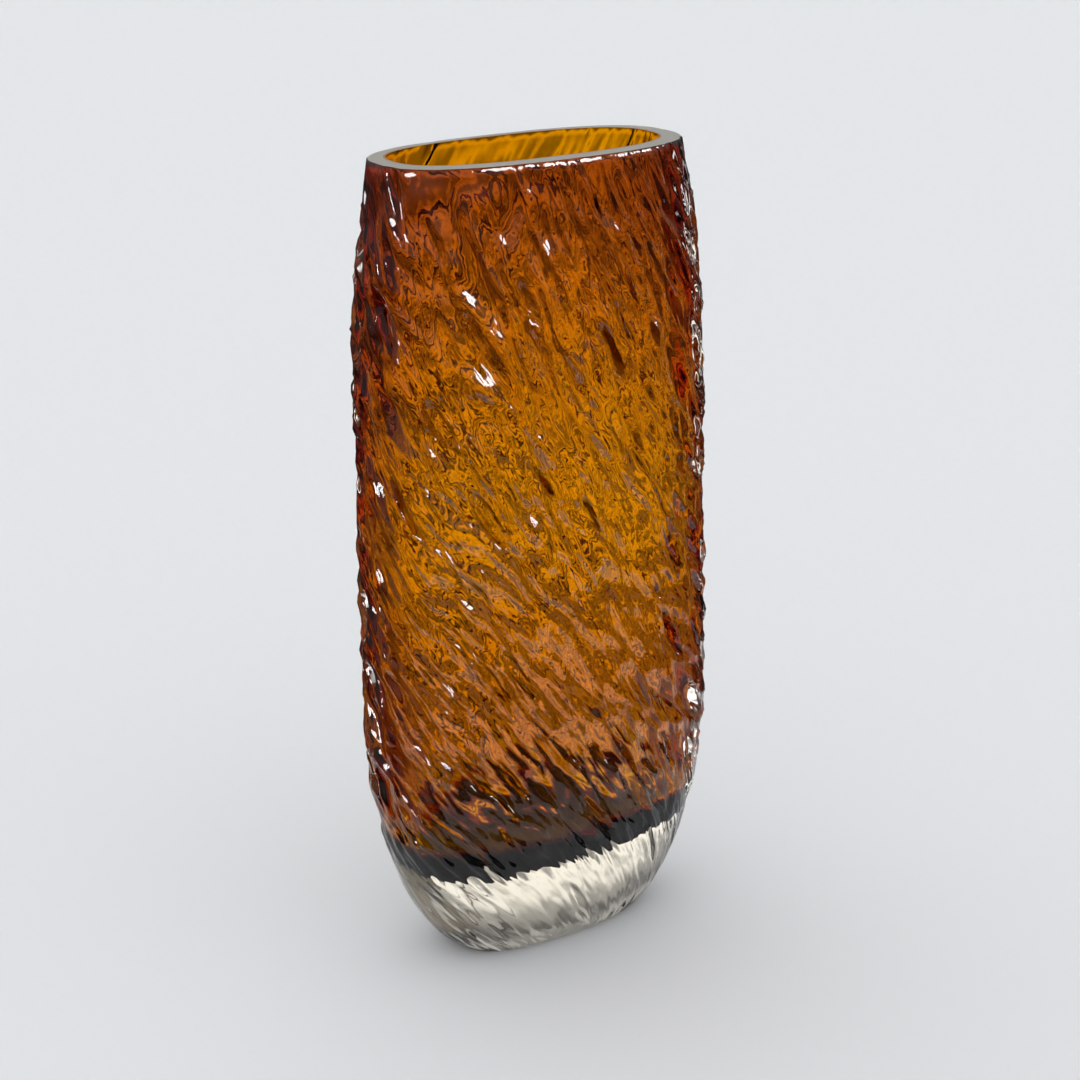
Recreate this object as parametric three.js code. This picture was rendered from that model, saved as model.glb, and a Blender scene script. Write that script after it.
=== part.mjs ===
// A hand blown vase in cased glass: a thin amber cup on the inside, and a thick clear
// casing with a heavy solid base around it. The plan is a flattened oval, the sides swell
// like a barrel, and the foot and the rim are ground flat.
// Millimetres, +Z up. The origin is the middle of the foot, and X runs along the long axis.
import * as THREE from "three";

// Driving dimensions.
const HEIGHT = 220;
const FOOT_HALF_LENGTH = 28.4;
const BELLY_HALF_LENGTH = 50.4;
const BELLY_Z = 73;
const RIM_HALF_LENGTH = 42.1;
const LENGTH_TO_DEPTH = 1.954;
const PLAN_POWER = 2.6; // 2 is a plain ellipse, and more is squarer at the corners

// The wall, measured inwards from the outer face. The clear glass thins from the body to the
// rim over RIM_TAPER.
const CASING_BODY_WALL = 5;
const CASING_RIM_WALL = 3.9;
const RIM_TAPER = 40;
const FUSED_GAP = 0.3;
const AMBER_WALL = 0.5;

// The bottom of the blown bubble, which has a nearly flat floor with a rounded corner.
const BASE_THICKNESS = 22.7;
const AMBER_FLOOR = 6;
const BOWL_HEIGHT = 12;
const BOWL_POWER = 2.3;

// How finely the faces are stepped.
const SIDES = 60;
const SHOULDER_STEPS = 8;
const FOOT_STEPS = 8;
const WALL_STEPS = 10;
const BOWL_STEPS = 6;

// The side view of the outer face, as half the long axis against height: one curve swells
// from the foot to the belly, and the next one leans in from the belly to the rim.
const footCurve = new THREE.CubicBezierCurve(
  new THREE.Vector2(FOOT_HALF_LENGTH, 0),
  new THREE.Vector2(36.7, 4.3),
  new THREE.Vector2(BELLY_HALF_LENGTH, 27),
  new THREE.Vector2(BELLY_HALF_LENGTH, BELLY_Z),
);
const shoulderCurve = new THREE.CubicBezierCurve(
  new THREE.Vector2(BELLY_HALF_LENGTH, BELLY_Z),
  new THREE.Vector2(BELLY_HALF_LENGTH, 201),
  new THREE.Vector2(45.9, 198),
  new THREE.Vector2(RIM_HALF_LENGTH, HEIGHT),
);

// The outer face's half length at height z, found by halving, because both curves climb all the way.
function outerHalfLength(z) {
  const curve = z < BELLY_Z ? footCurve : shoulderCurve;
  let low = 0;
  let high = 1;
  for (let i = 0; i < 30; i += 1) {
    const middle = (low + high) / 2;
    if (curve.getPoint(middle).y < z) low = middle;
    else high = middle;
  }
  return curve.getPoint(low).x;
}

// One level of a profile: the oval's two half sizes at a height.
function level(halfLength, halfDepth, z) {
  return { halfLength, halfDepth, z };
}

// The outer face's levels, from the edge of the foot up to the rim.
function outerLevels() {
  const points = [
    ...footCurve.getPoints(FOOT_STEPS),
    ...shoulderCurve.getPoints(SHOULDER_STEPS).slice(1),
  ];
  return points.map(({ x, y }) => level(x, x / LENGTH_TO_DEPTH, y));
}

// The clear glass between the outer face and the amber at height z.
function casingWall(z) {
  const taper = THREE.MathUtils.smoothstep(z, HEIGHT - RIM_TAPER, HEIGHT);
  return THREE.MathUtils.lerp(CASING_BODY_WALL, CASING_RIM_WALL, taper);
}

// The levels of a face that lies `behind` the casing's inner face and closes in a rounded
// floor at floorZ, from the middle of the floor up to the rim.
function innerLevels(behind, floorZ) {
  const heights = [];
  for (let i = 0; i <= BOWL_STEPS; i += 1) {
    const angle = (i / BOWL_STEPS) * (Math.PI / 2);
    heights.push(floorZ + BOWL_HEIGHT * (1 - Math.cos(angle)));
  }
  const bowlTop = floorZ + BOWL_HEIGHT;
  for (let i = 1; i <= WALL_STEPS; i += 1) {
    heights.push(bowlTop + ((HEIGHT - bowlTop) * i) / WALL_STEPS);
  }
  return heights.map((z) => {
    const rise = Math.min((z - floorZ) / BOWL_HEIGHT, 1);
    const spread = (1 - (1 - rise) ** BOWL_POWER) ** (1 / BOWL_POWER);
    const halfLength = outerHalfLength(z);
    const halfDepth = halfLength / LENGTH_TO_DEPTH;
    const inset = casingWall(z) + behind;
    return level((halfLength - inset) * spread, (halfDepth - inset) * spread, z);
  });
}

// A turned solid, pressed from round into the oval plan. Its profile starts and ends on the axis.
function ovalSolid(profile) {
  const outline = profile.map(({ halfLength, z }) => new THREE.Vector2(halfLength, z));
  const geometry = new THREE.LatheGeometry(outline, SIDES);
  geometry.rotateX(Math.PI / 2);
  const position = geometry.getAttribute("position");
  const bulge = (value) => Math.sign(value) * Math.abs(value) ** (2 / PLAN_POWER);
  for (let i = 0; i < position.count; i += 1) {
    const { halfLength, halfDepth, z } = profile[i % profile.length];
    const angle = Math.atan2(position.getY(i), position.getX(i));
    position.setXYZ(i, halfLength * bulge(Math.cos(angle)), halfDepth * bulge(Math.sin(angle)), z);
  }
  geometry.computeVertexNormals();
  return geometry;
}

function glass(color, opacity) {
  return new THREE.MeshStandardMaterial({
    color,
    roughness: 0.05,
    metalness: 0,
    transparent: true,
    opacity,
  });
}

function piece(name, profile, material) {
  const mesh = new THREE.Mesh(ovalSolid(profile), material);
  mesh.name = name;
  return mesh;
}

// The clear outer gather: the side, the flat rim, the socket for the cup, and the solid base.
function clearCasing() {
  const profile = [
    level(0, 0, 0),
    ...outerLevels(),
    ...innerLevels(0, BASE_THICKNESS).reverse(),
  ];
  return piece("clear_casing", profile, glass(0xe4e6e2, 0.35));
}

// The coloured inner gather: a thin bubble with a thicker floor, open at the rim.
function amberCup() {
  const outside = innerLevels(FUSED_GAP, BASE_THICKNESS + FUSED_GAP);
  const bore = innerLevels(FUSED_GAP + AMBER_WALL, BASE_THICKNESS + FUSED_GAP + AMBER_FLOOR);
  return piece("amber_cup", [...outside, ...bore.reverse()], glass(0xb06a08, 0.7));
}

const vase = new THREE.Group();
vase.add(clearCasing());
vase.add(amberCup());

export default vase;
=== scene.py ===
import math

import bpy
from mathutils import Euler, Matrix, Vector


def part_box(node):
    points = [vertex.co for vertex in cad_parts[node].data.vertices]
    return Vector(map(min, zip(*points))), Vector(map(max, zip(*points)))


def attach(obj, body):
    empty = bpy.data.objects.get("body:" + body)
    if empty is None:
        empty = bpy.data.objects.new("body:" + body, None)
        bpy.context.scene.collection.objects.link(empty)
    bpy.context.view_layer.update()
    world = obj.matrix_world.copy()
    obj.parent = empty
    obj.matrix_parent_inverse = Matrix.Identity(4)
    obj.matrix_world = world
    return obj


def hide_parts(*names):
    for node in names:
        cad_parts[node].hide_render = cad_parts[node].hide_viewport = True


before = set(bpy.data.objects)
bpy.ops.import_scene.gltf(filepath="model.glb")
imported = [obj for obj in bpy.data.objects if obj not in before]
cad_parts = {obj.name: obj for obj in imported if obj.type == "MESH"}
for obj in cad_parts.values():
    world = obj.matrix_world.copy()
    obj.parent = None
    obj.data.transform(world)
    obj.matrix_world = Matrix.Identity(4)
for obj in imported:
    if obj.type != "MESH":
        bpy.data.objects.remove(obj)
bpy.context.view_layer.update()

MM = 0.001

# The vase's sizes, from the frame's boxes.
CASING_LOW, CASING_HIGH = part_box("clear_casing")
HEIGHT = CASING_HIGH[2]
BELLY_HALF_LENGTH = (CASING_HIGH[0] - CASING_LOW[0]) / 2
BELLY_HALF_DEPTH = (CASING_HIGH[1] - CASING_LOW[1]) / 2
CUP_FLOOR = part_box("amber_cup")[0][2]

# The side view of the outer face: one curve swells to the belly and the next leans in to the rim.
FOOT_HALF_LENGTH = 28.4 * MM
RIM_HALF_LENGTH = 42.1 * MM
BELLY_Z = 73 * MM
PLAN_POWER = 2.6
FOOT_SWELL = ((36.7 * MM, 4.3 * MM), (BELLY_HALF_LENGTH, 27 * MM))
SHOULDER_LEAN = ((BELLY_HALF_LENGTH, 201 * MM), (45.9 * MM, 198 * MM))

# The blown bubble of amber glass inside the clear glass. It sits a little to the back.
BOWL_HEIGHT = 8 * MM
BOWL_POWER = 2.3
BOWL_FIRST_RING = 0.12
SIDE_START = 40 * MM
BUBBLE_SHIFT = 1.3 * MM
FUSED_GAP = 0.04 * MM
CLEAR_RIM = 3.9 * MM
CLEAR_BELLY = 5.4 * MM
CLEAR_TAPER = 40 * MM
CLEAR_END_RIM = 4.7 * MM
CLEAR_END_SHOULDER = 6.2 * MM
CLEAR_END_FOOT = 4.6 * MM
CLEAR_END_SWELL = (100 * MM, 185 * MM)
AMBER_RIM = 0.50 * MM
AMBER_RIM_FROM = 130 * MM
AMBER_RIM_POWER = 1.2
AMBER_BELLY = 0.285 * MM
AMBER_LOW_EXTRA = 0.09 * MM
AMBER_LOW_FADE = (60 * MM, 125 * MM)
AMBER_FLOOR = 5 * MM
AMBER_LEAN = -0.06 * MM

# The ground rim has its sharp edges just taken off.
ARRIS = 0.3 * MM

# How finely the glass is stepped before it is subdivided. Rings bunch up towards the foot.
AROUND = 112
WALL_STEPS = 38
RING_BUNCHING = 0.38
CUP_STEPS = 6
BOWL_STEPS = 4
SUBDIVISIONS = 2
OVAL_SAMPLES = 4000
HALVINGS = 30

# Two heights nearer than this are the same, and faces this flat and near an end are ground.
SAME_HEIGHT = 0.01 * MM
GROUND_NEAR = 0.1 * MM
GROUND_FLAT = 0.99
# How far out on the oval, from 0 to 1, the clear glass's fused faces reach.
FUSED_REACH = 0.955
# Faces of the cup that are this level belong to its floor.
CUP_FLOOR_FLAT = 0.9
SMOOTH_ANGLE = math.radians(50)

# The bark relief: long ridges that wind round the vase, in radians per metre of height. They
# wind most on one side of it, which BARK_STEEPEST gives as a direction in the plan.
BARK_RADIUS = 40.6 * MM
BARK_WIND = 13.5
BARK_WIND_CHANGE = 3.5
BARK_STEEPEST = math.radians(-200)
BARK_STRETCH = 0.4
BARK_DEPTH = 1.0 * MM
BARK_LEVEL = 0.6

# The furrows between ridges: how many per metre, how round the ridges are, and how deep it gets.
FURROWS = (150.0, 0.0005, 7.0)
FINE_FURROWS = (380.0, 0.0008, 2.6)
END_FURROWS = (95.0, 0.0008, 6.0)
END_FURROWS_FROM = 0.5
END_FURROWS_FULL = 0.95
# Broad patches have more of the coarse furrows and fewer of the fine ones.
PATCHES = (40.0, 2.0)
LUMPS = (170.0, 1.8)
# Slits are the dark dashes: how many per metre, how deep, how wide and how soft at the edge.
SLITS = (150.0, 3.0)
SLIT_WIDTH = 0.34
SLIT_SHARE = (0.35, 0.9)
SLIT_EDGE = 0.12
SLIT_STRETCH = 0.24
# How the ridges and slits wander: how often per metre, and how far.
RIDGE_DRIFT = (120.0, 6 * MM)
SLIT_DRIFT = (60.0, 4 * MM)

# How much relief is left at the foot and the rim, and over what distance from them it grows.
RELIEF_AT_FOOT = 0.16
RELIEF_FOOT_GROWS = (15 * MM, 55 * MM)
RELIEF_AT_RIM = 0.12
RELIEF_RIM_GROWS = (2 * MM, 15 * MM)

# The finest ripples in the outer face, and the glass itself.
RIPPLES = 420.0
RIPPLE_STRETCH = 0.7
RIPPLE_DEPTH = 0.21 * MM
GLASS_IOR = 1.5
WHITE = (1, 1, 1, 1)

# The painted shade that darkens and tints the clear glass by the rim, and the faint tint and blur of the
# thick clear foot.
PAINTED_SHADE_FROM = 0.84 * HEIGHT
PAINTED_SHADE_FULL = 0.95 * HEIGHT
FOOT_LOOK = (16 * MM, 36 * MM)
FOOT_TINT = (0.74, 0.73, 0.71, 1)
FOOT_BLUR = 0.13

# The ground faces are satin, and the foot's satin lets some of the light straight through. Up the vase
# the satin's colour turns from the foot's, which is painted light, to the rim's, which is painted shade.
GROUND_ROUGHNESS = 0.45
GROUND_THROUGH = 0.15
FOOT_THROUGH = 0.35
FOOT_TO_RIM = (0.4 * HEIGHT, 0.6 * HEIGHT)

# The floor. Only the near part is mirrored in the glass, as a table top in a dark room.
NEAR_FLOOR = 0.17
FAR_FLOOR = 10.0
FLOOR_SIDES = 96
FLOOR_GAP = 0.2 * MM
FLOOR_COLOR = (0.80, 0.81, 0.825, 1)
FLOOR_ROUGHNESS = 0.9
FLOOR_SHINE = 0.1

# The sky that lights the floor, as shares of white, and the backdrop that the eye sees.
SKY = 0.60
SKY_OVERHEAD = 0.44
SKY_RISE = (0.0, 0.9)
SKY_KEY = 0.16
KEY_AIM = (-0.6, 0.5, 0.6)
KEY_SPREAD = (0.4, 0.95)
BACKDROP = 0.775
STUDIO_COLOR = (0.98, 0.99, 1.0, 1)

# What is seen through the glass. The table's brightness changes in steps of the sine of the
# angle looked down at: from, to and change. It shows ahead of and behind the eye, and is dark
# at the sides except close to the vase. Above it is a dim wall, which is paler ahead.
ROOM = 0.04
TABLE_STEPS = ((-0.10, 0.10, 0.45), (0.10, 0.28, 0.95), (0.29, 0.42, -1.13), (0.48, 0.58, 0.35))
TABLE_AIM = (0.5, 0.866, 0.0)
TABLE_SPREAD = (0.15, 0.5)
CLOSE_TABLE = (0.33, 0.42)
SIDE_DARKNESS = 0.85
WALL_RISE = (0.02, 0.30)
WALL_SPREAD = (0.0, 0.35)
WALL = 0.25
WALL_AHEAD = 0.37

# What is mirrored in the glass: a dim ceiling and four small windows.
CEILING = 0.28
CEILING_RISE = (-0.1, 0.3)
WINDOW = 22.0
WINDOW_EDGE = (0.988, 0.992)
WINDOW_AIMS = ((0.50, -0.75, 0.42), (0.75, -0.45, 0.45), (-0.85, -0.20, 0.45), (0.20, -0.90, 0.55))

# The camera, which looks down and a little to the right.
CAMERA_PITCH = math.radians(20.83)
CAMERA_TURN = math.radians(30.05)
CAMERA_ROLL = math.radians(1.04)
CAMERA_DISTANCE = 0.5366
CAMERA_AIM_SIDE = 1.3 * MM
CAMERA_AIM_HEIGHT = 114.8 * MM
CAMERA_LENS = 66.67
CAMERA_SENSOR = 36


class Wire:
    """A node's output that takes part in a formula, which adds its own Math nodes."""

    def __init__(self, graph, socket):
        self.graph = graph
        self.socket = socket

    def maths(self, operation, first, second):
        return self.graph.node("ShaderNodeMath", {"operation": operation}, {0: first, 1: second})

    def __add__(self, other):
        return self.maths("ADD", self, other)

    __radd__ = __add__

    def __sub__(self, other):
        return self.maths("SUBTRACT", self, other)

    def __rsub__(self, other):
        return self.maths("SUBTRACT", other, self)

    def __mul__(self, other):
        return self.maths("MULTIPLY", self, other)

    __rmul__ = __mul__

    def __truediv__(self, other):
        return self.maths("DIVIDE", self, other)

    def __pow__(self, other):
        return self.maths("POWER", self, other)

    def ramp(self, low, high):
        """0 below low and 1 above high, with a smooth step between them."""
        settings = {"interpolation_type": "SMOOTHSTEP"}
        return self.graph.node("ShaderNodeMapRange", settings, {0: self, 1: low, 2: high})


class Graph:
    """A node tree that is written as formulas."""

    def __init__(self, tree):
        self.tree = tree
        tree.nodes.clear()

    def node(self, kind, settings=None, inputs=None, output=0):
        """Add a node, set its settings and feed its inputs, and give back one of its outputs."""
        made = self.tree.nodes.new(kind)
        for name, value in (settings or {}).items():
            setattr(made, name, value)
        for name, value in (inputs or {}).items():
            if isinstance(value, Wire):
                self.tree.links.new(value.socket, made.inputs[name])
            else:
                made.inputs[name].default_value = value
        return Wire(self, made.outputs[output]) if len(made.outputs) else made

    def outputs(self, wire):
        """All the outputs of the node that a wire comes from, by name."""
        return {output.name: Wire(self, output) for output in wire.socket.node.outputs}

    def parts(self, vector):
        """The X, Y and Z of a vector."""
        return self.outputs(self.node("ShaderNodeSeparateXYZ", None, {0: vector})).values()

    def vector(self, x, y, z):
        return self.node("ShaderNodeCombineXYZ", None, {0: x, 1: y, 2: z})

    def vector_maths(self, operation, *values):
        return self.node("ShaderNodeVectorMath", {"operation": operation}, dict(enumerate(values)))

    def scaled(self, vector, size):
        inputs = {0: vector, "Scale": size}
        return self.node("ShaderNodeVectorMath", {"operation": "SCALE"}, inputs)

    def mix(self, share, first, second):
        """A colour between two colours."""
        return self.node("ShaderNodeMix", {"data_type": "RGBA"}, {0: share, 6: first, 7: second}, 2)

    def noise(self, place, scale, detail=0.0, roughness=0.5, output="Fac"):
        inputs = {"Vector": place, "Scale": scale, "Detail": detail, "Roughness": roughness}
        return self.node("ShaderNodeTexNoise", None, inputs, output)


# ---------------------------------------------------------------------------
# The outline


def bezier(start, lead, follow, end, t):
    """A point of a cubic curve, as half length and height."""
    s = 1 - t
    weights = (s * s * s, 3 * s * s * t, 3 * s * t * t, t * t * t)
    points = (start, lead, follow, end)
    return [sum(w * p[i] for w, p in zip(weights, points)) for i in range(2)]


def outer_half_length(z):
    """Half the long axis of the outer face at height z."""
    if z < BELLY_Z:
        points = ((FOOT_HALF_LENGTH, 0), *FOOT_SWELL, (BELLY_HALF_LENGTH, BELLY_Z))
    else:
        points = ((BELLY_HALF_LENGTH, BELLY_Z), *SHOULDER_LEAN, (RIM_HALF_LENGTH, HEIGHT))
    low, high = 0.0, 1.0
    for _ in range(HALVINGS):
        middle = (low + high) / 2
        if bezier(*points, middle)[1] < z:
            low = middle
        else:
            high = middle
    return bezier(*points, low)[0]


def outer_sizes(z):
    """Half the length and half the depth of the outer face at height z."""
    half_length = outer_half_length(z)
    return half_length, half_length * BELLY_HALF_DEPTH / BELLY_HALF_LENGTH


def smoothstep(low, high, value):
    t = max(0.0, min(1.0, (value - low) / (high - low)))
    return t * t * (3 - 2 * t)


def clear_wall(z):
    """The clear glass at the oval's ends and sides. It is thinnest at the rim."""
    rim = smoothstep(HEIGHT - CLEAR_TAPER, HEIGHT, z)
    side = CLEAR_BELLY + (CLEAR_RIM - CLEAR_BELLY) * rim
    swell = smoothstep(*CLEAR_END_SWELL, z)
    end = CLEAR_END_FOOT + (CLEAR_END_SHOULDER - CLEAR_END_FOOT) * swell
    end += (CLEAR_END_RIM - end) * rim
    return end, side


def amber_wall(z):
    """The colour is thickest by the rim, where the bubble was blown least, and thicker low down."""
    up = max(0.0, min(1.0, (z - AMBER_RIM_FROM) / (HEIGHT - AMBER_RIM_FROM)))
    rim = (AMBER_RIM - AMBER_BELLY) * up ** AMBER_RIM_POWER
    low = AMBER_LOW_EXTRA * (1 - smoothstep(*AMBER_LOW_FADE, z))
    return AMBER_BELLY + rim + low


def inner_ring(z, inset, floor, shift):
    """A ring of a face that lies inset behind the clear glass and closes in a bowl."""
    rise = min((z - floor) / BOWL_HEIGHT, 1)
    spread = (1 - (1 - rise) ** BOWL_POWER) ** (1 / BOWL_POWER)
    half_length, half_depth = outer_sizes(z)
    end, side = clear_wall(z)
    half_length -= end + inset
    half_depth -= side + inset
    return half_length * spread, half_depth * spread, z, shift


def oval_points(half_length, half_depth, count):
    """Points spaced evenly along the oval plan."""
    power = 2 / PLAN_POWER

    def place(angle):
        c, s = math.cos(angle), math.sin(angle)
        x = math.copysign(abs(c) ** power, c) * half_length
        y = math.copysign(abs(s) ** power, s) * half_depth
        return x, y

    walk = [place(2 * math.pi * i / OVAL_SAMPLES) for i in range(OVAL_SAMPLES + 1)]
    lengths = [0.0]
    for a, b in zip(walk, walk[1:]):
        lengths.append(lengths[-1] + math.dist(a, b))
    points = []
    at = 0
    for i in range(count):
        wanted = lengths[-1] * i / count
        while lengths[at + 1] < wanted:
            at += 1
        share = (wanted - lengths[at]) / (lengths[at + 1] - lengths[at])
        points.append(Vector(walk[at]).lerp(Vector(walk[at + 1]), share))
    return points


# ---------------------------------------------------------------------------
# Modelling


def deselect_all():
    for thing in bpy.context.selected_objects:
        thing.select_set(False)


def apply_modifiers(piece):
    bpy.context.view_layer.objects.active = piece
    for modifier in list(piece.modifiers):
        bpy.ops.object.modifier_apply(modifier=modifier.name)


def oval_place(walk, turn, half_length, half_depth, z, shift):
    """The point of an oval ring at a turn, with turns spaced evenly along the belly's oval."""
    at = turn * AROUND % AROUND
    i = int(at)
    x, y = walk[i].lerp(walk[(i + 1) % AROUND], at - i)
    x *= half_length / BELLY_HALF_LENGTH
    y *= half_depth / BELLY_HALF_DEPTH
    return Vector((x, y + shift, z))


def oval_normal(x, y):
    """The way that the belly's oval faces at a point of it."""
    slope = PLAN_POWER - 1
    return Vector((
        math.copysign(abs(x / BELLY_HALF_LENGTH) ** slope / BELLY_HALF_LENGTH, x),
        math.copysign(abs(y / BELLY_HALF_DEPTH) ** slope / BELLY_HALF_DEPTH, y),
        0,
    )).normalized()


def wind(z, angle):
    """How far the ridges have turned round the vase at height z, in radians."""
    up = z - HEIGHT / 2
    return BARK_WIND * up + BARK_WIND_CHANGE * up * math.cos(angle - BARK_STEEPEST)


def loft(name, rings, wound):
    """A closed solid through oval rings: a disc, extruded from ring to ring and closed at its end.

    The first rings, as many as wound says, turn with the ridges, and the rest turn like the rim.
    """
    deselect_all()
    first = rings[0][0]
    bpy.ops.mesh.primitive_circle_add(vertices=AROUND, radius=first, fill_type="NGON")
    piece = bpy.context.object
    piece.name = piece.data.name = name
    bpy.ops.object.mode_set(mode="EDIT")
    bpy.ops.mesh.select_mode(type="EDGE")
    bpy.ops.mesh.select_all(action="SELECT")
    for low, high in zip(rings, rings[1:]):
        bpy.ops.mesh.extrude_edges_indiv()
        bpy.ops.transform.translate(value=(0, 0, high[2] - low[2]))
        scale = (high[0] / low[0], high[1] / low[1], 1)
        bpy.ops.transform.resize(value=scale, center_override=(0, 0, high[2]))
    bpy.ops.object.mode_set(mode="OBJECT")
    press_oval(piece.data, rings, wound)
    bpy.ops.object.mode_set(mode="EDIT")
    bpy.ops.mesh.select_mode(type="EDGE")
    bpy.ops.mesh.merge(type="CENTER")
    bpy.ops.mesh.select_all(action="SELECT")
    bpy.ops.mesh.normals_make_consistent(inside=False)
    bpy.ops.object.mode_set(mode="OBJECT")
    return piece


def press_oval(mesh, rings, wound):
    """Press the round rings into the oval plan, wind them, and note each point's place in the bark."""
    walk = oval_points(BELLY_HALF_LENGTH, BELLY_HALF_DEPTH, AROUND)
    bark = mesh.attributes.new("bark", "FLOAT_VECTOR", "POINT")
    outward = mesh.attributes.new("outward", "FLOAT_VECTOR", "POINT")
    for vertex in mesh.vertices:
        level = vertex.index // AROUND
        angle = math.atan2(vertex.co.y, vertex.co.x)
        z = rings[level][2] if level < wound else HEIGHT
        turn = (angle - wind(z, angle)) / (2 * math.pi)
        vertex.co = oval_place(walk, turn, *rings[level])
        on_drum = BARK_RADIUS * Vector((math.cos(angle), math.sin(angle), 0))
        bark.data[vertex.index].vector = on_drum
        at_belly = oval_place(walk, turn, BELLY_HALF_LENGTH, BELLY_HALF_DEPTH, 0, 0)
        outward.data[vertex.index].vector = oval_normal(at_belly.x, at_belly.y)


def crease_flats(piece, heights):
    """Keep the edges of the ground faces sharp when the piece is subdivided."""
    mesh = piece.data
    crease = mesh.attributes.new("crease_edge", "FLOAT", "EDGE")
    for edge in mesh.edges:
        ends = [mesh.vertices[v].co.z for v in edge.vertices]
        for height in heights:
            if all(abs(end - height) < SAME_HEIGHT for end in ends):
                crease.data[edge.index].value = 1


def bowl_rings(inset, floor, shift=BUBBLE_SHIFT):
    """The rings of an inner face, from its smallest one on the floor up to the rim.

    inset says how far behind the clear glass the face lies at each height.
    """
    heights = []
    for i in range(BOWL_STEPS + 1):
        share = BOWL_FIRST_RING + (1 - BOWL_FIRST_RING) * i / BOWL_STEPS
        heights.append(floor + BOWL_HEIGHT * (1 - math.cos(share * math.pi / 2)))
    for i in range(CUP_STEPS + 1):
        heights.append(SIDE_START + (HEIGHT - SIDE_START) * i / CUP_STEPS)
    return [inner_ring(z, inset(z), floor, shift) for z in heights]


def mark_faces(piece, name, test):
    """Note on every face, under a name, whether it passes a test."""
    mesh = piece.data
    marks = mesh.attributes.new(name, "FLOAT", "FACE")
    for face in mesh.polygons:
        marks.data[face.index].value = 1.0 if test(face) else 0.0


def oval_level(x, y, z):
    """How far out a point is: 1 on the plain outer face and less inside it."""
    half_length, half_depth = outer_sizes(min(max(z, 0), HEIGHT))
    total = (abs(x) / half_length) ** PLAN_POWER + (abs(y) / half_depth) ** PLAN_POWER
    return total ** (1 / PLAN_POWER)


def is_ground(face):
    """Whether a face is part of the flat foot or the flat rim."""
    z = face.center.z
    at_end = z < GROUND_NEAR or z > HEIGHT - GROUND_NEAR
    return at_end and abs(face.normal.z) > GROUND_FLAT


def bark_modifier(piece):
    """Push the outer face in and out in long winding ridges."""
    tree = bpy.data.node_groups.new("bark_relief", "GeometryNodeTree")
    tree.interface.new_socket("Geometry", in_out="INPUT", socket_type="NodeSocketGeometry")
    tree.interface.new_socket("Geometry", in_out="OUTPUT", socket_type="NodeSocketGeometry")
    graph = Graph(tree)
    shape = graph.node("NodeGroupInput")

    def attribute(name, kind):
        return graph.node("GeometryNodeInputNamedAttribute", {"data_type": kind}, {"Name": name})

    bark_place = attribute("bark", "FLOAT_VECTOR")
    outward = attribute("outward", "FLOAT_VECTOR")
    relief = attribute("relief", "FLOAT")
    _, _, height = graph.parts(graph.node("GeometryNodeInputPosition"))
    x, y, _ = graph.parts(bark_place)

    def drift(place, scale, size):
        """Move places about, so that the ridges wander."""
        cloud = graph.noise(place, scale, 1.0, output="Color")
        away = graph.vector_maths("SUBTRACT", cloud, (0.5, 0.5, 0.5))
        return graph.vector_maths("ADD", place, graph.scaled(away, size))

    def furrows(place, scale, roundness, depth, detail=0.0):
        """How far a place is from the lines where a noise changes sign, which stand up as ridges."""
        level = graph.noise(place, scale, detail) - 0.5
        return (level * level + roundness) ** 0.5 * depth

    place = drift(graph.vector(x, y, height * BARK_STRETCH), *RIDGE_DRIFT)
    ends = (x * x).ramp((END_FURROWS_FROM * BARK_RADIUS) ** 2, (END_FURROWS_FULL * BARK_RADIUS) ** 2)
    patches_scale, patches_share = PATCHES
    patches = (graph.noise(place, patches_scale, 1.0) - 0.5) * patches_share

    slits_scale, slits_depth = SLITS
    slit_place = drift(graph.vector(x, y, height * SLIT_STRETCH), *SLIT_DRIFT)
    cell = graph.outputs(graph.node("ShaderNodeTexVoronoi", {"feature": "F1"}, {
        "Vector": slit_place,
        "Scale": slits_scale,
    }))
    chance, _, _ = graph.parts(cell["Color"])
    slits = (chance.ramp(*SLIT_SHARE) * SLIT_WIDTH - cell["Distance"]).ramp(0.0, SLIT_EDGE)

    lumps_scale, lumps_height = LUMPS
    lumps = graph.noise(graph.vector(x, y, height), lumps_scale, 1.0) - 0.5
    bark = (
        BARK_LEVEL
        - furrows(place, *FURROWS) * (1 + patches)
        - furrows(place, *FINE_FURROWS) * (1 - patches)
        - furrows(place, *END_FURROWS, detail=1.0) * ends
        - slits * slits_depth
        + lumps * lumps_height
    )
    offset = graph.scaled(outward, bark * relief * BARK_DEPTH)
    moved = graph.node("GeometryNodeSetPosition", None, {"Geometry": shape, "Offset": offset})
    graph.node("NodeGroupOutput", None, {0: moved})
    piece.modifiers.new("bark", "NODES").node_group = tree


def weigh_relief(piece):
    """The relief is full on the side, softer by the foot and the rim, and none inside."""
    relief = piece.data.attributes.new("relief", "FLOAT", "POINT")
    for vertex in piece.data.vertices:
        if vertex.index // AROUND <= WALL_STEPS + 1:
            z = vertex.co.z
            foot = smoothstep(*RELIEF_FOOT_GROWS, z)
            rim = smoothstep(*RELIEF_RIM_GROWS, HEIGHT - z)
            relief.data[vertex.index].value = (
                (RELIEF_AT_FOOT + (1 - RELIEF_AT_FOOT) * foot)
                * (RELIEF_AT_RIM + (1 - RELIEF_AT_RIM) * rim)
            )


def subdivide(piece):
    smooth = piece.modifiers.new("smooth", "SUBSURF")
    smooth.levels = smooth.render_levels = SUBDIVISIONS


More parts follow.
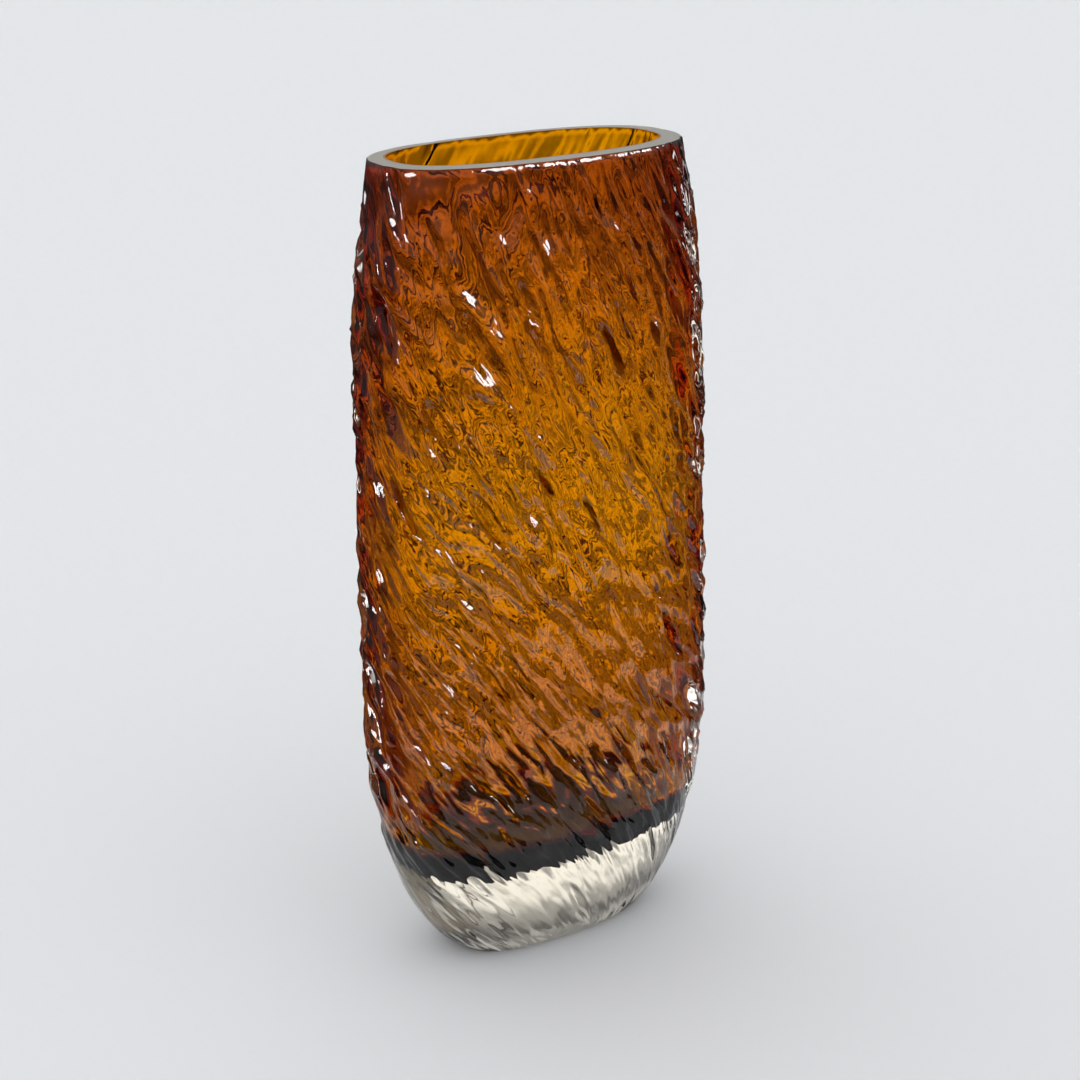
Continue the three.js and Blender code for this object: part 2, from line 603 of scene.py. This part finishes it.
def clear_casing(glass):
    """The clear outer glass: the bark side, the ground foot and rim, and the socket for the cup."""
    rings = []
    for i in range(WALL_STEPS + 1):
        t = i / WALL_STEPS
        z = (HEIGHT - ARRIS) * ((1 - RING_BUNCHING) * t + RING_BUNCHING * t * t)
        rings.append((*outer_sizes(z), z, 0))
    rim_length, rim_depth = outer_sizes(HEIGHT)
    rings.append((rim_length - ARRIS, rim_depth - ARRIS, HEIGHT, 0))
    rings += reversed(bowl_rings(lambda z: -FUSED_GAP, CUP_FLOOR - FUSED_GAP))
    piece = loft("casing_bark_glass", rings, WALL_STEPS + 1)
    crease_flats(piece, (0, HEIGHT - ARRIS, HEIGHT))
    weigh_relief(piece)

    def is_fused(face):
        above_base = face.center.z > CUP_FLOOR - 1 * MM
        return above_base and not is_ground(face) and oval_level(*face.center) < FUSED_REACH

    mark_faces(piece, "ground", is_ground)
    mark_faces(piece, "fused", is_fused)
    subdivide(piece)
    bark_modifier(piece)
    apply_modifiers(piece)
    finish_piece(piece, glass)
    return piece


def amber_cup(glass):
    """The amber inner glass: the outside that is fused to the casing, and the smooth bore."""
    rings = bowl_rings(lambda z: 0, CUP_FLOOR)
    bore_floor = CUP_FLOOR + AMBER_FLOOR
    rings += reversed(bowl_rings(amber_wall, bore_floor, BUBBLE_SHIFT + AMBER_LEAN))
    piece = loft("cup_amber_glass", rings, 0)
    crease_flats(piece, (HEIGHT,))
    mark_faces(piece, "ground", is_ground)
    mark_faces(piece, "fused", lambda face: not is_ground(face) and outside_of_cup(face))
    subdivide(piece)
    apply_modifiers(piece)
    finish_piece(piece, glass)
    return piece


def outside_of_cup(face):
    """Whether a face of the cup looks away from its middle, which is down for the floor."""
    out = Vector((face.center.x, face.center.y, 0))
    if out.length < 1 * MM or abs(face.normal.z) > CUP_FLOOR_FLAT:
        return face.normal.z < 0
    return face.normal.dot(out) > 0


def finish_piece(piece, glass):
    piece.data.materials.clear()
    piece.data.materials.append(glass)
    deselect_all()
    piece.select_set(True)
    bpy.context.view_layer.objects.active = piece
    bpy.ops.object.shade_smooth_by_angle(angle=SMOOTH_ANGLE)


# ---------------------------------------------------------------------------
# Materials


def attribute_value(graph, name):
    return graph.node("ShaderNodeAttribute", {"attribute_name": name}, None, "Fac")


def glass_material(name, rim_satin_and_shade, foot_satin_and_light, painted_top_shade, absorb, density):
    """Glass that bends light at its free faces and not where it is fused to the other layer.

    The colours of its ground faces are the rim's satin, which is painted shade, and the foot's,
    which is painted light. The tint by the rim is painted shade, and absorb and density say how
    its depth takes the colour out of white light.
    """
    material = bpy.data.materials.new(name)
    material.use_nodes = True
    graph = Graph(material.node_tree)
    place = graph.node("ShaderNodeTexCoord", None, None, "Object")
    _, _, height = graph.parts(place)
    bark_place = graph.node("ShaderNodeAttribute", {"attribute_name": "bark"}, None, "Vector")
    x, y, _ = graph.parts(bark_place)

    ripple = graph.noise(graph.vector(x, y, height * RIPPLE_STRETCH), RIPPLES, 1.0)
    ripples = graph.node("ShaderNodeBump", None, {
        "Strength": 1.0,
        "Distance": RIPPLE_DEPTH,
        "Height": ripple * attribute_value(graph, "relief"),
    })
    above_foot = height.ramp(*FOOT_LOOK)
    tint = graph.mix(above_foot, FOOT_TINT, WHITE)
    free = graph.node("ShaderNodeBsdfPrincipled", None, {
        "Normal": ripples,
        # Towards the rim the colour is painted shade.
        "Base Color": graph.mix(height.ramp(PAINTED_SHADE_FROM, PAINTED_SHADE_FULL), tint, painted_top_shade),
        "Roughness": (1 - above_foot) * FOOT_BLUR,
        "IOR": GLASS_IOR,
        "Transmission Weight": 1.0,
    })
    through = graph.node("ShaderNodeBsdfTransparent", None, {"Color": WHITE})

    # The ground satin's colour goes from painted light at the foot to painted shade at the rim.
    rim = height.ramp(*FOOT_TO_RIM)
    satin = graph.node("ShaderNodeBsdfPrincipled", None, {
        "Base Color": graph.mix(rim, foot_satin_and_light, rim_satin_and_shade),
        "Roughness": GROUND_ROUGHNESS,
        "IOR": GLASS_IOR,
        "Transmission Weight": GROUND_THROUGH,
    })
    ground = graph.node("ShaderNodeMixShader", None, {0: (1 - rim) * FOOT_THROUGH, 1: satin, 2: through})

    ground_share = attribute_value(graph, "ground")
    fused_share = attribute_value(graph, "fused")
    outside = graph.node("ShaderNodeMixShader", None, {0: ground_share, 1: free, 2: ground})
    surface = graph.node("ShaderNodeMixShader", None, {0: fused_share, 1: outside, 2: through})
    body = graph.node("ShaderNodeVolumeAbsorption", None, {"Color": absorb, "Density": density})
    graph.node("ShaderNodeOutputMaterial", None, {"Surface": surface, "Volume": body})
    return material


# ---------------------------------------------------------------------------
# The studio


def studio_world():
    """What lights the floor, and what is seen in the glass, through it and past it.

    The glass bends rays towards a pale table in a dark room, and mirrors a ceiling with windows.
    Any ray that has left a matt face sees the plain sky, and so does the light on the floor.
    """
    world = bpy.data.worlds.new("studio")
    bpy.context.scene.world = world
    world.use_nodes = True
    graph = Graph(world.node_tree)
    x, y, z = graph.parts(graph.node("ShaderNodeTexCoord", None, None, "Generated"))
    rays = graph.outputs(graph.node("ShaderNodeLightPath"))
    camera_ray = rays["Is Camera Ray"]
    lamp_ray = rays["Diffuse Depth"].ramp(0.0, 0.5)
    bent_ray = rays["Is Transmission Ray"]
    mirror_ray = rays["Is Glossy Ray"] * (1 - bent_ray)

    def facing(aim):
        """The cosine of the angle from a direction."""
        aim = Vector(aim).normalized()
        return x * aim.x + y * aim.y + z * aim.z

    key = facing(KEY_AIM).ramp(*KEY_SPREAD)
    sky = SKY + z.ramp(*SKY_RISE) * SKY_OVERHEAD + key * SKY_KEY

    down = 0 - z
    along = facing(TABLE_AIM)
    straight = along * along / (x * x + y * y + 0.0001)
    table = sum(down.ramp(low, high) * change for low, high, change in TABLE_STEPS)
    sideways = 1 - straight.ramp(*TABLE_SPREAD)
    far_off = 1 - down.ramp(*CLOSE_TABLE)
    table = table * (1 - sideways * far_off * SIDE_DARKNESS)
    wall = z.ramp(*WALL_RISE) * (WALL + straight.ramp(*WALL_SPREAD) * WALL_AHEAD)
    bent = ROOM + table + wall

    windows = sum(facing(aim).ramp(*WINDOW_EDGE) for aim in WINDOW_AIMS)
    mirrored = ROOM + z.ramp(*CEILING_RISE) * CEILING + windows * WINDOW

    strength = (bent * bent_ray + mirrored * mirror_ray) * (1 - lamp_ray) + sky * lamp_ray
    seen = strength * (1 - camera_ray) + camera_ray * BACKDROP
    back = graph.node("ShaderNodeBackground", None, {"Color": STUDIO_COLOR, "Strength": seen})
    graph.node("ShaderNodeOutputWorld", None, {"Surface": back})


def floor_material():
    material = bpy.data.materials.new("pale_floor")
    material.use_nodes = True
    graph = Graph(material.node_tree)
    paint = graph.node("ShaderNodeBsdfPrincipled", None, {
        "Base Color": FLOOR_COLOR,
        "Roughness": FLOOR_ROUGHNESS,
        "Specular IOR Level": FLOOR_SHINE,
    })
    graph.node("ShaderNodeOutputMaterial", None, {"Surface": paint})
    return material


def floor():
    """A wide pale floor, in a near disc and a far ring round it."""
    deselect_all()
    bpy.ops.mesh.primitive_circle_add(vertices=FLOOR_SIDES, radius=NEAR_FLOOR, fill_type="NGON")
    near = bpy.context.object
    near.name = "near_floor"
    deselect_all()
    bpy.ops.mesh.primitive_circle_add(vertices=FLOOR_SIDES, radius=NEAR_FLOOR)
    far = bpy.context.object
    far.name = "far_floor"
    bpy.ops.object.mode_set(mode="EDIT")
    bpy.ops.mesh.select_mode(type="EDGE")
    bpy.ops.mesh.select_all(action="SELECT")
    bpy.ops.mesh.extrude_edges_indiv()
    growth = FAR_FLOOR / NEAR_FLOOR
    bpy.ops.transform.resize(value=(growth, growth, 1), center_override=(0, 0, 0))
    bpy.ops.mesh.select_all(action="SELECT")
    bpy.ops.mesh.normals_make_consistent(inside=False)
    bpy.ops.object.mode_set(mode="OBJECT")
    far.visible_glossy = False
    paint = floor_material()
    for part in (near, far):
        part.visible_transmission = False
        part.data.transform(Matrix.Translation((0, 0, -FLOOR_GAP)))
        part.data.materials.append(paint)


def camera():
    """A camera that looks down at the front of the vase, turned a little towards its left end."""
    data = bpy.data.cameras.new("camera")
    data.sensor_width = CAMERA_SENSOR
    data.lens = CAMERA_LENS
    data.clip_start = 0.01
    data.clip_end = 50
    eye = bpy.data.objects.new("camera", data)
    bpy.context.collection.objects.link(eye)
    turn = Matrix.Rotation(-CAMERA_TURN, 4, "Z")
    tilt = Euler((math.pi / 2 - CAMERA_PITCH, 0, 0)).to_matrix().to_4x4()
    roll = Matrix.Rotation(-CAMERA_ROLL, 4, "Z")
    spot = turn @ Vector((
        CAMERA_AIM_SIDE,
        -CAMERA_DISTANCE * math.cos(CAMERA_PITCH),
        CAMERA_AIM_HEIGHT + CAMERA_DISTANCE * math.sin(CAMERA_PITCH),
    ))
    eye.matrix_world = Matrix.Translation(spot) @ turn @ tilt @ roll
    bpy.context.scene.camera = eye


def picture_settings():
    """Light has to cross many faces of glass, so it may bend and pass through often."""
    scene = bpy.context.scene
    scene.view_settings.view_transform = "Standard"
    scene.cycles.max_bounces = 32
    scene.cycles.transmission_bounces = 32
    scene.cycles.glossy_bounces = 16
    scene.cycles.transparent_max_bounces = 64
    scene.cycles.caustics_reflective = False
    scene.cycles.caustics_refractive = True


camera()
picture_settings()
studio_world()
floor()

casing = clear_casing(glass_material(
    "clear_glass",
    # The rim satin colour is painted shade and the foot satin colour is painted light.
    rim_satin_and_shade=(0.44, 0.42, 0.375, 1),
    foot_satin_and_light=(0.80, 0.78, 0.74, 1),
    painted_top_shade=(0.70, 0.66, 0.72, 1),
    # The darker tint by the rim is painted shade.
    absorb=(0.75, 0.55, 0.10, 1),
    density=8.0,
))
cup = amber_cup(glass_material(
    "amber_glass",
    rim_satin_and_shade=(0.45, 0.20, 0.05, 1),
    foot_satin_and_light=(0.45, 0.20, 0.05, 1),
    painted_top_shade=WHITE,
    absorb=(0.938, 0.822, 0.03, 1),
    density=14500.0,
))

pieces = ((casing, "clear_casing", "clear_glass"), (cup, "amber_cup", "amber_glass"))
for piece, node, slot in pieces:
    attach(piece, "root")
    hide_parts(node)
